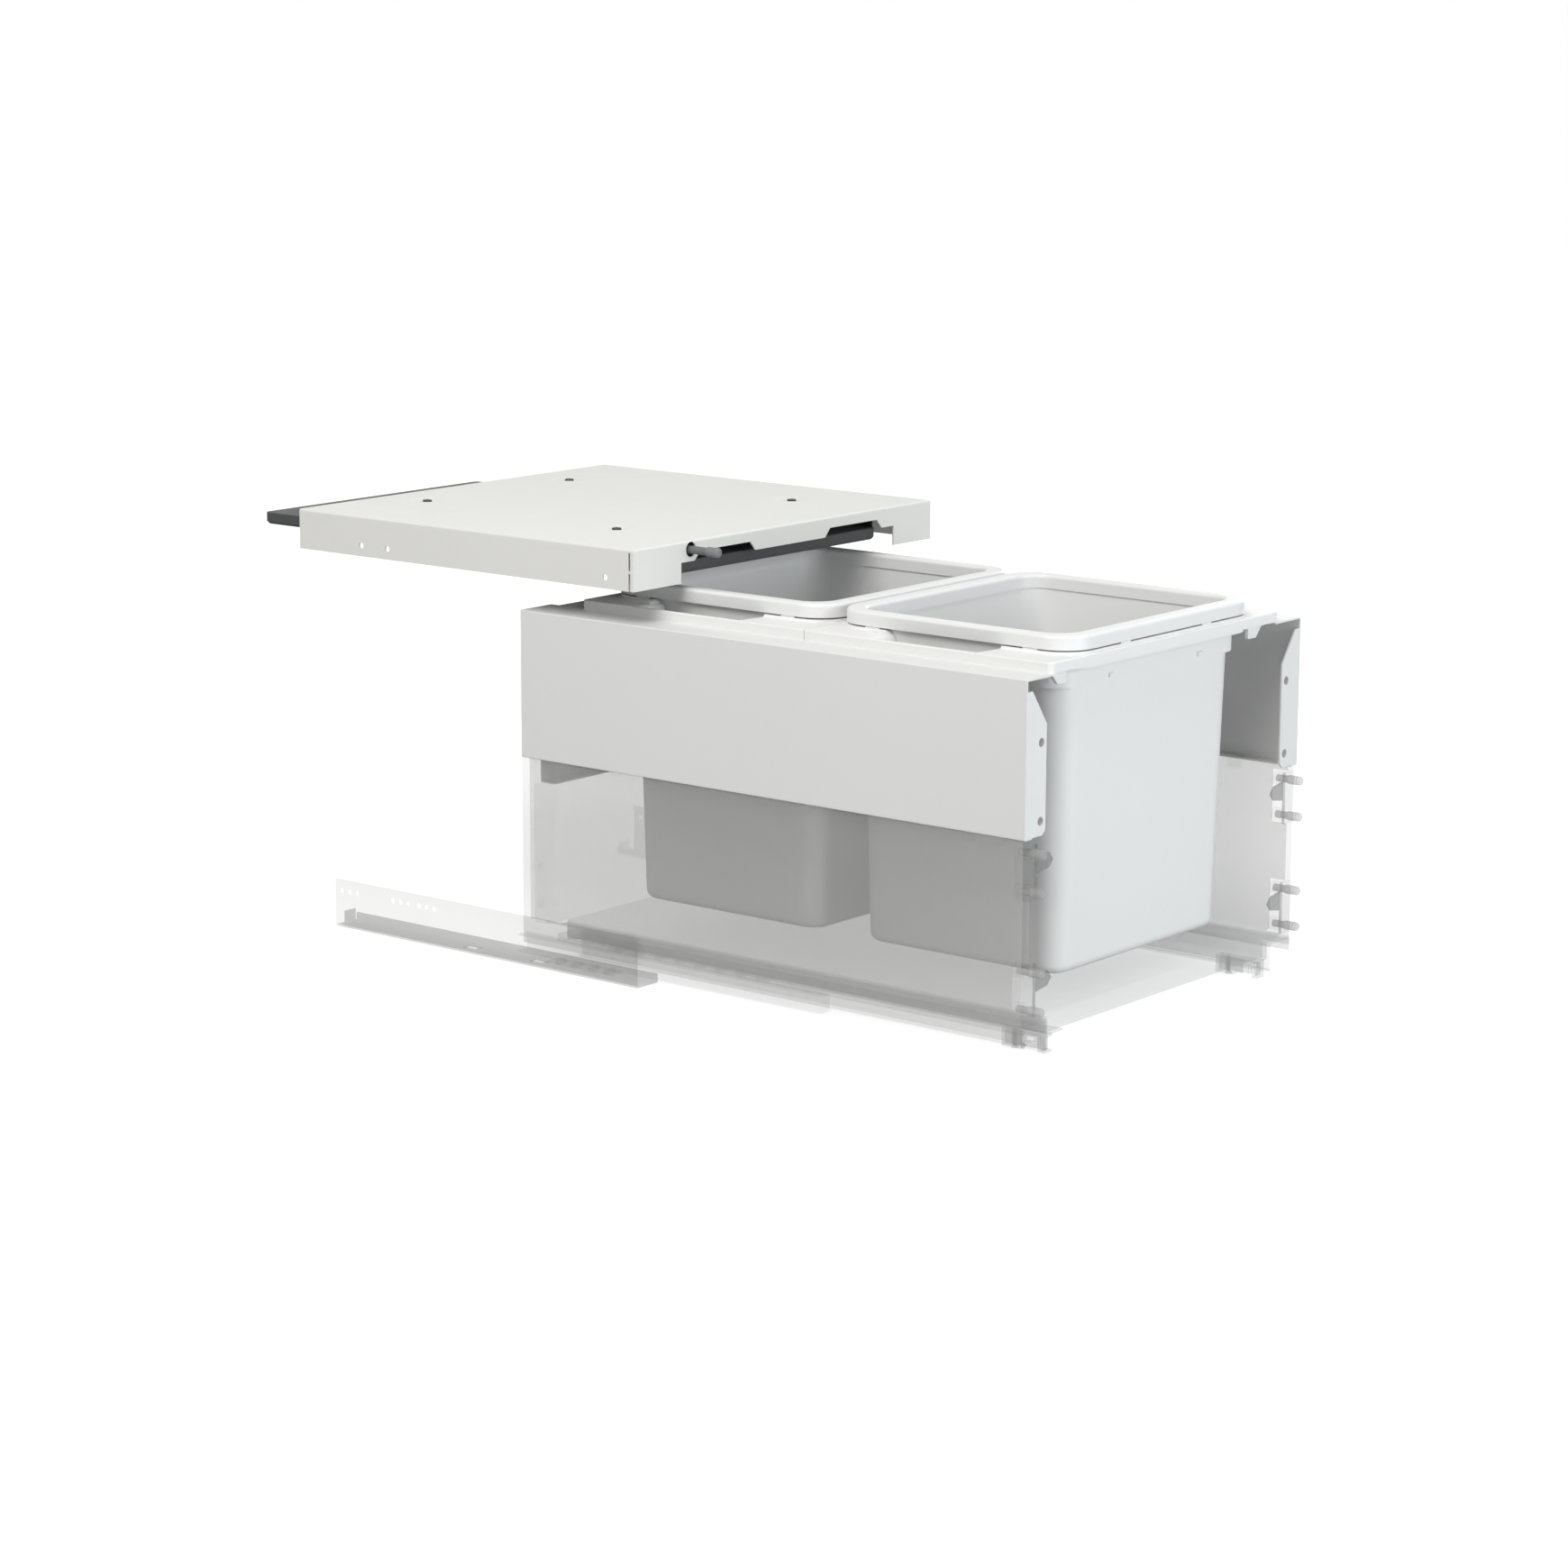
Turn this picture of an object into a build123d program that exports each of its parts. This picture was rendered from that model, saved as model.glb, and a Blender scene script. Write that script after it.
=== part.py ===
from build123d import *
import math
import os

os.makedirs("parts", exist_ok=True)

# Frame, in mm: X right, Y to the back, Z up. X 0 is the middle plane, Y 0 is the
# cabinet's front edge and Z 0 is the row of fixing holes of the runners.
# The drawer stands pulled out by pull_out in front of the cabinet.

# ---- driving dimensions -------------------------------------------------
cabinet_inside = 418.0
pull_out = 399.0
drawer_length = 538.6
drawer_side_gap = 6.0
drawer_side_height = 166.0
drawer_bottom_z = -15.0
top_panel_height = 130.0
sheet = 1.5
board = 16.0
wall_thickness = 11.0

bin_length = 243.0
bin_pitch = 250.0
bin_floor_gap = 19.0
bin_wall = 2.5
bin_draft = 8.2
rim_height = 12.0
rim_lip = 1.5
rim_overhang = 9.0
rim_gap = 3.6
rim_corner = 30.0
band_drop = 20.0
frame_height = 9.0

cover_depth = 397.0
cover_height = 36.0
cover_above_panels = 29.5
cover_setback = 5.0
lid_length = 496.0
lid_height = 11.0
lid_forward = 15.0
lid_drop = 10.0
pusher_stroke = 26.0

rail_fixed_length = 362.0
rail_middle_length = 340.0
rail_drawer_length = 500.0
running_gap = 0.3
pin_gap = 0.05

# ---- derived levels and lines -------------------------------------------
half_cab = cabinet_inside / 2
half_out = half_cab - drawer_side_gap
front_y = -pull_out
rear_y = front_y + drawer_length
side_top = drawer_bottom_z + drawer_side_height
panel_top = side_top + top_panel_height
frame_top = panel_top + frame_height
rim_bottom = frame_top + rim_gap
rim_top = rim_bottom + rim_height
rim_half = half_out - 64.8
band_half = rim_half - 4.8
body_half = rim_half - rim_overhang
bin_front_y = front_y + 3.0
floor_top = drawer_bottom_z + board
bin_bottom = floor_top + bin_floor_gap
inner_wall = half_out - wall_thickness
cover_z0 = panel_top + cover_above_panels
cover_z1 = cover_z0 + cover_height
cover_under = cover_z1 - sheet
cover_y0 = cover_setback
cover_y1 = cover_y0 + cover_depth


# ---- helpers -------------------------------------------------------------
def block(x0, x1, y0, y1, z0, z1):
    body = Box(abs(x1 - x0), abs(y1 - y0), abs(z1 - z0))
    return Pos((x0 + x1) / 2, (y0 + y1) / 2, (z0 + z1) / 2) * body


def ordered(points):
    """The points, turned round where they run clockwise, so that extrusions go one way."""
    area = 0.0
    for i in range(len(points)):
        a = points[i - 1]
        b = points[i]
        area += a[0] * b[1] - b[0] * a[1]
    return list(points) if area > 0 else list(points)[::-1]


def prism_x(points, x0, x1):
    face = Plane.YZ.offset(x0) * Polygon(*ordered(points), align=None)
    return extrude(face, amount=x1 - x0)


def prism_y(points, y0, y1):
    face = Plane.XZ.offset(-y1) * Polygon(*ordered(points), align=None)
    return extrude(face, amount=y1 - y0)


def prism_z(points, z0, z1):
    face = Plane.XY.offset(z0) * Polygon(*ordered(points), align=None)
    return extrude(face, amount=z1 - z0)


def rod_x(x0, x1, y, z, r):
    return Pos((x0 + x1) / 2, y, z) * Rot(0, 90, 0) * Cylinder(r, abs(x1 - x0))


def rod_y(y0, y1, x, z, r):
    return Pos(x, (y0 + y1) / 2, z) * Rot(90, 0, 0) * Cylinder(r, abs(y1 - y0))


def rod_z(z0, z1, x, y, r):
    return Pos(x, y, (z0 + z1) / 2) * Cylinder(r, abs(z1 - z0))


def rounded(x, y, half_x, half_y, corner, z0, z1):
    face = Plane.XY.offset(z0) * Pos(x, y) * RectangleRounded(2 * half_x, 2 * half_y, corner)
    return extrude(face, amount=z1 - z0)


def folded(points, t, y0, y1):
    """A bent sheet of thickness t: the open line of points, thickened to its left."""
    count = len(points)
    left = []
    for i in range(count):
        normals = []
        for a, b in ((i - 1, i), (i, i + 1)):
            if a < 0 or b >= count:
                continue
            dx = points[b][0] - points[a][0]
            dz = points[b][1] - points[a][1]
            size = math.hypot(dx, dz)
            normals.append((-dz / size, dx / size))
        if len(normals) == 1:
            nx, nz = normals[0]
            grow = 1.0
        else:
            nx = normals[0][0] + normals[1][0]
            nz = normals[0][1] + normals[1][1]
            size = math.hypot(nx, nz)
            nx, nz = nx / size, nz / size
            grow = 1.0 / (nx * normals[0][0] + nz * normals[0][1])
        left.append((points[i][0] + nx * t * grow, points[i][1] + nz * t * grow))
    return prism_y(list(points) + left[::-1], y0, y1)


def flip(part):
    return mirror(part, about=Plane.YZ)


def group(pieces):
    return Compound(children=list(pieces))


def save(name, part):
    if isinstance(part, (list, tuple)):
        part = group(part)
    part.label = name
    export_step(part, "parts/" + name + ".step")


def edges_at(part, axis, value, tol=0.05):
    return part.edges().filter_by_position(axis, value - tol, value + tol)


# ---- cover -----------------------------------------------------------------
works_half = 148.8 * half_cab / 209.0
notch_half = works_half + 0.9
notch_mid = 3.5
notch_top = cover_z0 + 18.0
window_top = notch_top + 8.0
window_far = notch_half - 17.7
window_near = notch_half - 100.5
window_slope_far = 7.7
window_slope_near = 7.0
corner_wrap = 3.6
corner_gap = 2.0
fixing_hole_z = cover_z0 + 9.6
fixing_hole_r = 2.75
fixing_rows = (cover_y0 + 32.0, cover_y0 + 288.0, cover_y0 + 320.0)
dimple_r = 17.0
dimple_flat_r = 6.5
dimple_depth = 2.0
screw_r = 2.5
screw_mid = 8.0
front_screw = (half_cab - 86.5, cover_y0 + 100.7)
rear_screw = (half_cab - 111.3, cover_y0 + 352.0)
screw_points = []
for side in (-1, 1):
    screw_points.append((screw_mid + side * front_screw[0], front_screw[1]))
    screw_points.append((screw_mid + side * rear_screw[0], rear_screw[1]))

pusher_x = -(works_half - 15.3)
pusher_z = cover_z0 + 28.0
pusher_r = 3.5
pusher_hole_r = 6.5

bend_r = 2.0
top_plate = block(-half_cab, half_cab, cover_y0, cover_y1, cover_z0, cover_z1)
bends = edges_at(top_plate, Axis.Z, cover_z1).filter_by(Axis.Y)
bends = bends + edges_at(top_plate, Axis.Z, cover_z1).filter_by(Axis.X).sort_by(Axis.Y)[:1]
top_plate = fillet(bends, bend_r)
hollow = block(
    -half_cab + sheet, half_cab - sheet, cover_y0 + sheet, cover_y1 + 1, cover_z0 - 1, cover_under,
)
cover = top_plate - hollow
notch = block(
    notch_mid - notch_half,
    notch_mid + notch_half,
    cover_y0 - 1,
    cover_y0 + sheet + 1,
    cover_z0 - 1,
    notch_top,
)
cover -= notch
for side in (-1, 1):
    window = [
        (notch_mid + side * window_near, notch_top - 1),
        (notch_mid + side * window_near, notch_top),
        (notch_mid + side * (window_near + window_slope_near), window_top),
        (notch_mid + side * (window_far - window_slope_far), window_top),
        (notch_mid + side * window_far, notch_top),
        (notch_mid + side * window_far, notch_top - 1),
    ]
    cover -= prism_y(window, cover_y0 - 1, cover_y0 + sheet + 1)
    # the front flange wraps round the corner, and a slit parts it from the side flange
    slit_x = side * (half_cab + 1)
    slit_in = side * (half_cab - sheet - 0.02)
    slit_y = cover_y0 + corner_wrap
    slit = block(slit_x, slit_in, slit_y, slit_y + corner_gap, cover_z0 - 1, cover_under - 1.5)
    bridge = block(slit_x, slit_in, slit_y - 1, slit_y + corner_gap + 1, cover_z0 + 15.5, cover_z0 + 17.5)
    cover -= slit - bridge
    for hole_y in fixing_rows:
        cover -= rod_x(side * (half_cab - 4), side * (half_cab + 4), hole_y, fixing_hole_z, fixing_hole_r)
cover -= rod_y(cover_y0 - 1, cover_y0 + sheet + 1, pusher_x, pusher_z + 0.3, pusher_hole_r)


def dimple_body(x, y, drop):
    """The pressed cone of a screw dimple, moved down by drop."""
    profile = [
        (0, cover_z1 + 3 - drop),
        (dimple_r + 3 * (dimple_r - dimple_flat_r) / dimple_depth, cover_z1 + 3 - drop),
        (dimple_flat_r, cover_z1 - dimple_depth - drop),
        (0, cover_z1 - dimple_depth - drop),
    ]
    face = Plane.XZ * Polygon(*profile, align=None)
    return Pos(x, y, 0) * revolve(face, axis=Axis.Z)


for sx, sy in screw_points:
    cover += dimple_body(sx, sy, sheet) & rod_z(
        cover_under - dimple_depth - 1, cover_z1 - 0.4, sx, sy, dimple_r + 1,
    )
    cover -= dimple_body(sx, sy, 0)
    cover -= rod_z(cover_under - 6, cover_z1 + 1, sx, sy, screw_r + 0.4)
save("cover_shell", cover)

# ---- guide rails under the cover ---------------------------------------------
tab_t = 2.0
tab_top = cover_under - dimple_depth
tab_bottom = tab_top - tab_t
web_out = works_half + 0.2
web_in = web_out - 2.0
web_y0 = cover_y0 + 21.0
web_y1 = rear_screw[1] + 17.0
web_z0 = cover_z0 + 5.0
lid_half = works_half - 4.3
lid_y0 = cover_y0 + 13.0
lid_y1 = lid_y0 + lid_length
lid_z0 = cover_z0 + 5.5
lid_z1 = lid_z0 + lid_height
lid_pin_r = 3.0
lid_pin_z = lid_z1 + 7.0
lid_pin_front_y = front_screw[1] - 20.7
lid_pin_rear_y = rear_screw[1] - 17.0
slot_r = lid_pin_r + 0.3

pusher_pin_y0 = cover_y0 + 29.0
lever_y = pusher_pin_y0 + pusher_stroke / 2
lever_arm_pusher = 2 * pusher_stroke
lever_arm_lid = lever_arm_pusher * lid_forward / pusher_stroke
lever_x = pusher_x + lever_arm_pusher
drive_x = lever_x + lever_arm_lid
drive_y = lever_y + lid_forward / 2
lever_half_angle = math.degrees(math.atan(0.25))
shoe_half = 5.5
channel_half = shoe_half + 0.5
spring_r = 3.5
spring_wire = 0.45
spring_front = pusher_pin_y0 + 6.3
spring_back = spring_front + 52.0
seat_y = spring_back + 0.3


def pin_slot(x0, x1, y, z):
    """A slot for a lid pin: from its rest place, forward and down by the lid's way."""
    start = rod_x(x0, x1, y, z, slot_r)
    end = rod_x(x0, x1, y - lid_forward, z - lid_drop, slot_r)
    size = math.hypot(lid_forward, lid_drop)
    ny = lid_drop / size * slot_r
    nz = -lid_forward / size * slot_r
    strip = [
        (y + ny, z + nz),
        (y - ny, z - nz),
        (y - lid_forward - ny, z - lid_drop - nz),
        (y - lid_forward + ny, z - lid_drop + nz),
    ]
    return start + end + prism_x(strip, min(x0, x1), max(x0, x1))


def guide_rail(side, wide_front):
    web = block(side * web_in, side * web_out, web_y0, web_y1, web_z0, tab_top)
    rail = web
    front_in = screw_mid + side * (front_screw[0] - 12.0)
    rear_in = screw_mid + side * (rear_screw[0] - 12.0)
    rail += block(side * web_out, front_in, front_screw[1] - 16, front_screw[1] + 14, tab_bottom, tab_top)
    rail += block(side * web_out, rear_in, rear_screw[1] - 12, rear_screw[1] + 12, tab_bottom, tab_top)
    # the web is lightened between the slots and stiffened by a lip along its top
    rail += block(side * web_out, side * (web_in - 6), web_y0 + 60, web_y1, tab_bottom, tab_top)
    if wide_front:
        deck_in = lever_x + 15.5
        rail += block(-web_out, deck_in, web_y0, front_screw[1] + 14, tab_bottom, tab_top)
        rail += block(-web_out, pusher_x + 9, cover_y0 + 4, web_y0, tab_bottom, tab_top)
        channel_end = seat_y
        rail -= block(
            pusher_x - channel_half,
            pusher_x + channel_half,
            cover_y0,
            channel_end,
            tab_bottom - 1,
            tab_top + 1,
        )
        rail += block(pusher_x - 6.5, pusher_x + 6.5, seat_y, seat_y + 2, pusher_z - 4.6, tab_bottom)
        rail -= rod_z(tab_bottom - 1, tab_top + 1, lever_x, lever_y, 3.0)
    for slot_y in (lid_pin_front_y, lid_pin_rear_y):
        rail -= pin_slot(side * (web_in - 1), side * (web_out + 1), slot_y, lid_pin_z)
    for sx, sy in screw_points:
        rail -= rod_z(tab_bottom - 1, tab_top + 1, sx, sy, screw_r + 0.1)
    middle = (lid_pin_front_y + lid_pin_rear_y) / 2
    for step in (-70, 0, 70):
        hole_y0 = middle + step - 22
        rail -= block(
            side * (web_in - 1), side * (web_out + 1), hole_y0, hole_y0 + 44, web_z0 + 6, lid_pin_z - 2,
        )
    return rail


save("guide_rail_left", guide_rail(-1, True))
save("guide_rail_right", guide_rail(1, False))

head_top = cover_z1 - 0.15
screws = []
nuts = []
for sx, sy in screw_points:
    head = rod_z(cover_z1 - dimple_depth, head_top, sx, sy, 4.2)
    head = fillet(edges_at(head, Axis.Z, head_top), 0.8)
    shank = rod_z(tab_bottom - 6, cover_z1 - dimple_depth, sx, sy, screw_r)
    recess = Pos(sx, sy, head_top - 1.2) * extrude(RegularPolygon(1.7, 6), amount=3)
    screws.append(head + shank - recess)
    nut = Pos(sx, sy, tab_bottom - 4) * extrude(RegularPolygon(3.5, 6, major_radius=False), amount=4)
    nuts.append(nut - rod_z(tab_bottom - 5, tab_bottom + 1, sx, sy, screw_r + 0.05))
save("cover_screws", screws)
save("cover_nuts", nuts)

# ---- lid and its pins ---------------------------------------------------------
lid_shell = 2.5
lid = block(-lid_half, lid_half, lid_y0, lid_y1, lid_z0, lid_z1)
lid = fillet(lid.edges().filter_by(Axis.Z), 6.0)
lid = fillet(edges_at(lid, Axis.Z, lid_z1), 1.2)
lid = chamfer(edges_at(lid, Axis.Z, lid_z0).filter_by(Axis.X).sort_by(Axis.Y)[-1:], 2.5)
inside = rounded(
    0,
    (lid_y0 + lid_y1) / 2,
    lid_half - lid_shell,
    lid_length / 2 - lid_shell - 0.5,
    3.5,
    lid_z0 - 1,
    lid_z1 - lid_shell,
)
lid -= inside
rib_z0 = lid_z0 + 3.0
for i in range(1, 6):
    rib_y = lid_y0 + lid_length * i / 6
    lid += block(-lid_half + 1, lid_half - 1, rib_y - 0.9, rib_y + 0.9, rib_z0, lid_z1 - 1)
for rib_x in (-lid_half * 0.5, 0, lid_half * 0.5):
    lid += block(rib_x - 0.9, rib_x + 0.9, lid_y0 + 1, lid_y1 - 1.5, rib_z0, lid_z1 - 1)
ear_t = 4.0
for side in (-1, 1):
    for ear_y in (lid_pin_front_y, lid_pin_rear_y):
        ear = [
            (ear_y - 9, lid_z1 - 1),
            (ear_y + 9, lid_z1 - 1),
            (ear_y + 4, lid_pin_z + 4),
            (ear_y - 4, lid_pin_z + 4),
        ]
        x0 = min(side * (lid_half - 1), side * (lid_half - 1 - ear_t))
        lid += prism_x(ear, x0, x0 + ear_t)
        lid -= rod_x(
            side * (lid_half - ear_t - 4),
            side * (lid_half + 3),
            ear_y,
            lid_pin_z,
            lid_pin_r - 0.5 + pin_gap,
        )
drive_pin_r = 3.0
lid += rod_z(lid_z1 - 4, lid_z1, drive_x, drive_y, 7.0)
lid -= rod_z(lid_z1 - 3, lid_z1 + 1, drive_x, drive_y, drive_pin_r + pin_gap)
save("lid_panel", lid)

pins = []
for side in (-1, 1):
    for pin_y in (lid_pin_front_y, lid_pin_rear_y):
        outer = web_out + 1.0
        inner_end = lid_half - 1 - ear_t
        neck = rod_x(side * inner_end, side * (lid_half + 0.6), pin_y, lid_pin_z, lid_pin_r - 0.5)
        body = rod_x(side * (lid_half - 1 + 0.3), side * outer, pin_y, lid_pin_z, lid_pin_r)
        head = rod_x(side * outer, side * (outer + 1.5), pin_y, lid_pin_z, lid_pin_r + 2)
        pins.append(neck + body + head)
save("lid_pins", pins)

drive_pin_top = cover_under - 1.5
drive_pin = rod_z(lid_z1 - 3, drive_pin_top, drive_x, drive_y, drive_pin_r)
drive_pin = fillet(edges_at(drive_pin, Axis.Z, drive_pin_top), 0.8)
save("lid_drive_pin", drive_pin)

# ---- pusher, lever and spring ---------------------------------------------------
tip_y = cover_y0 - 32.0
tip_length = 13.0
tip_r = 4.3
rod_front = tip_y + 4.0
shoe_y0 = pusher_pin_y0 - 6.0
shoe_y1 = pusher_pin_y0 + 6.0
shoe_bottom = pusher_z - 4.6
pusher = rod_y(rod_front, shoe_y0 + 1, pusher_x, pusher_z, pusher_r)
pusher += block(
    pusher_x - shoe_half, pusher_x + shoe_half, shoe_y0, shoe_y1, shoe_bottom, tab_bottom - running_gap,
)
pusher += block(pusher_x - shoe_half, pusher_x + shoe_half, shoe_y0, shoe_y1, tab_bottom - 1, tab_top + 1)
pusher += block(
    pusher_x - shoe_half - 2,
    pusher_x + shoe_half + 2,
    shoe_y0,
    shoe_y1,
    tab_top + running_gap,
    cover_under - 0.4,
)
pusher_pin_r = 2.5
pusher_pin_bottom = lid_z1 + 0.9
pusher += rod_z(pusher_pin_bottom, shoe_bottom + 1, pusher_x, pusher_pin_y0, pusher_pin_r)
save("pusher_rod", pusher)

tip = rod_y(tip_y, tip_y + tip_length, pusher_x, pusher_z, tip_r)
tip = fillet(tip.edges().filter_by(GeomType.CIRCLE).sort_by(Axis.Y)[:1], 2.2)
tip = fillet(tip.edges().filter_by(GeomType.CIRCLE).sort_by(Axis.Y)[-1:], 0.6)
tip -= rod_y(rod_front - 0.05, tip_y + tip_length + 1, pusher_x, pusher_z, pusher_r + pin_gap)
save("pusher_tip", tip)

guide_y0 = tip_y + tip_length + pusher_stroke + 0.6
guide_y1 = shoe_y0 - running_gap
guide = block(pusher_x - 7.5, pusher_x + 7.5, guide_y0, guide_y1, pusher_z - 5.5, tab_bottom)
guide += block(
    pusher_x - channel_half + 0.1,
    pusher_x + channel_half - 0.1,
    guide_y0,
    guide_y1,
    tab_bottom - 1,
    tab_top,
)
guide += block(pusher_x - 7.5, pusher_x + 7.5, guide_y0, guide_y1, tab_top, tab_top + 1.2)
guide -= rod_y(guide_y0 - 1, guide_y1 + 1, pusher_x, pusher_z, pusher_r + 0.08)
save("pusher_guide", guide)

lever_z0 = lid_z1 + 2.1
lever_z1 = lever_z0 + 2.8


def arm(length, reach, width, angle):
    """An arm from the pivot with a slot for a pin at length, along angle degrees."""
    body = block(0, length + reach, -width / 2, width / 2, lever_z0, lever_z1)
    return Rot(0, 0, angle) * body


pivot_at = Pos(lever_x, lever_y, 0)
angle_a = 180 + lever_half_angle
angle_b = lever_half_angle
lever = rod_z(lever_z0, lever_z1, 0, 0, 11.0)
lever += arm(lever_arm_pusher, 6.0, 14.0, angle_a)
lever += arm(lever_arm_lid, 6.5, 15.0, angle_b)
lever = fillet(lever.edges().filter_by(Axis.Z).sort_by(Axis.X)[:2], 4.0)
lever = fillet(lever.edges().filter_by(Axis.Z).sort_by(Axis.X)[-2:], 4.0)
grow_a = lever_arm_pusher * (1 / math.cos(math.radians(lever_half_angle)) - 1)
grow_b = lever_arm_lid * (1 / math.cos(math.radians(lever_half_angle)) - 1)


def lever_slot(length, grow, r, angle):
    slot = rod_z(lever_z0 - 1, lever_z1 + 1, length - 0.3, 0, r)
    slot += rod_z(lever_z0 - 1, lever_z1 + 1, length + grow + 0.3, 0, r)
    slot += block(length - 0.3, length + grow + 0.3, -r, r, lever_z0 - 1, lever_z1 + 1)
    return Rot(0, 0, angle) * slot


lever -= lever_slot(lever_arm_pusher, grow_a, pusher_pin_r + 0.35, angle_a)
lever -= lever_slot(lever_arm_lid, grow_b, drive_pin_r + 0.35, angle_b)
pivot_r = 3.0
lever -= rod_z(lever_z0 - 1, lever_z1 + 1, 0, 0, pivot_r + pin_gap)
save("transfer_lever", pivot_at * lever)

pivot = rod_z(lever_z0 - 1.6, lever_z0 - running_gap, lever_x, lever_y, 6.0)
pivot += rod_z(lever_z0 - 1, lever_z1 + 1, lever_x, lever_y, pivot_r)
pivot += rod_z(lever_z1 + running_gap, tab_bottom, lever_x, lever_y, 5.0)
pivot += rod_z(tab_bottom - 1, tab_top, lever_x, lever_y, pivot_r - 0.05)
pivot += rod_z(tab_top, tab_top + 1.2, lever_x, lever_y, 5.0)
save("lever_pivot", pivot)

spring_turns = 11
spring_length = spring_back - spring_front
spring_path = Helix(
    pitch=(spring_length - 2 * spring_wire) / spring_turns,
    height=spring_length - 2 * spring_wire,
    radius=spring_r,
)
spring_start = spring_path @ 0
spring_way = spring_path % 0
spring_face = Plane(origin=spring_start, z_dir=spring_way) * Circle(spring_wire)
spring = sweep(spring_face, path=spring_path)
spring = Pos(pusher_x, spring_front + spring_wire, pusher_z) * Rot(-90, 0, 0) * spring
save("return_spring", spring)

# ---- runners -----------------------------------------------------------------
profile_y0 = 3.0
profile_y1 = profile_y0 + rail_fixed_length
base_z = -34.0
profile_top = 10.5
lip_x = half_cab - 28.0
hole_rows = (
    18.0, 27.5, 37.0, 50.0, 59.5, 69.0, 242.0, 251.5, 261.0, 274.0, 283.5, 293.0, 338.0, 347.5, 357.0,
)
runner_hole_r = 2.5
middle_in = half_out - 18.0
middle_out = half_out - 5.0
leg_in = half_out - 36.0
roller_low = 5.2
roller_high = 6.1
mid_z0 = base_z + sheet + roller_low + 2 * running_gap
mid_z1 = -2.0 - sheet - roller_high - 2 * running_gap
rail_top = -2.0

# Half of the pull-out is made by the middle rails, and the cages of the rollers
# run half as far as the rail that rolls on them.
middle_closed_y0 = 10.0
middle_y0 = middle_closed_y0 - pull_out / 2
low_cage_length = 75.0
low_cage_closed = 176.5
low_cage_y = low_cage_closed - pull_out / 4
high_cage_length = 180.0
high_cage_closed = 255.0
high_cage_y = high_cage_closed - pull_out * 3 / 4


def cabinet_profile():
    line = [
        (half_cab, profile_top),
        (half_cab, base_z),
        (lip_x, base_z),
        (lip_x, base_z + 8.0),
    ]
    rail = folded(line[::-1], sheet, profile_y0, profile_y1)
    for row in hole_rows:
        rail -= rod_x(half_cab - 5, half_cab + 5, row, 0, runner_hole_r)
    for notch_y in (profile_y0 + 120, profile_y0 + 200):
        rail -= block(half_cab - 20, half_cab - 12, notch_y, notch_y + 14, base_z - 1, base_z + sheet + 1)
    # a turned-up stop at the back end keeps the middle rail in
    rail += block(middle_in, middle_out, profile_y1 - sheet, profile_y1, base_z, base_z + 12)
    return rail


def middle_rail():
    line = [
        (middle_out, mid_z1),
        (middle_in, mid_z1),
        (middle_in, mid_z0),
        (middle_out, mid_z0),
    ]
    return folded(line, sheet, middle_y0, middle_y0 + rail_middle_length)


def drawer_rail():
    y0 = front_y
    y1 = front_y + rail_drawer_length
    line = [
        (leg_in + 6, -28.0),
        (leg_in, -28.0),
        (leg_in, rail_top),
        (half_out - 2.3, rail_top),
        (half_out - 2.3, rail_top - 7.0),
    ]
    rail = folded(line[::-1], sheet, y0, y1)
    window = block(leg_in - 1, leg_in + sheet + 1, hook_y - 5.5, hook_y + 5.5, hook_z0 - 0.6, hook_z1 + 0.6)
    rail -= window
    return rail


def roller_row(y, length, count, z, r):
    first = y - length / 2 + length / count / 2
    row = []
    for i in range(count):
        row.append(rod_x(middle_in + 2.0, middle_out - 1.0, first + i * length / count, z, r))
    return row


def roller_cage(y, length, count, z, r, thick):
    cage = block(
        middle_in + 0.8, middle_out + 0.6, y - length / 2, y + length / 2, z - thick / 2, z + thick / 2,
    )
    first = y - length / 2 + length / count / 2
    for i in range(count):
        row_y = first + i * length / count
        half_win = r + running_gap
        cage -= block(
            middle_in + 1.7, middle_out - 0.7, row_y - half_win, row_y + half_win, z - thick, z + thick,
        )
    return cage


hook_y = front_y + 18.0
hook_z0 = -23.5
hook_z1 = -19.5
low_z = base_z + sheet + running_gap + roller_low / 2
high_z = mid_z1 + running_gap + roller_high / 2
low_count = 4
high_count = 8

right_profile = cabinet_profile()
save("cabinet_profile_right", right_profile)
save("cabinet_profile_left", flip(right_profile))
right_middle = middle_rail()
save("middle_rail_right", right_middle)
save("middle_rail_left", flip(right_middle))
right_rail = drawer_rail()
save("drawer_rail_right", right_rail)
save("drawer_rail_left", flip(right_rail))

low_row = roller_row(low_cage_y, low_cage_length, low_count, low_z, roller_low / 2)
high_row = roller_row(high_cage_y, high_cage_length, high_count, high_z, roller_high / 2)
low_cage = roller_cage(low_cage_y, low_cage_length, low_count, low_z, roller_low / 2, 2.4)
high_cage = roller_cage(high_cage_y, high_cage_length, high_count, high_z, roller_high / 2, 2.6)
save("lower_rollers", low_row + [flip(r) for r in low_row])
save("upper_rollers", high_row + [flip(r) for r in high_row])
save("lower_cages", [low_cage, flip(low_cage)])
save("upper_cages", [high_cage, flip(high_cage)])

# ---- drawer box -----------------------------------------------------------------
ledge_x = leg_in - 0.5
floor_half = ledge_x - sheet - 0.2
floor_y0 = front_y + 6.0
floor_y1 = rear_y - 18.6
bracket_y1 = front_y + 2.5
bracket_pairs = ((side_top - 11.5, side_top - 43.5), (drawer_bottom_z + 57.0, drawer_bottom_z + 25.0))
dowel_r = 4.0
dowel_out = 12.5
side_y0 = bracket_y1 + 0.1
side_y1 = rear_y - 0.6
pocket = 15.0


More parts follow.
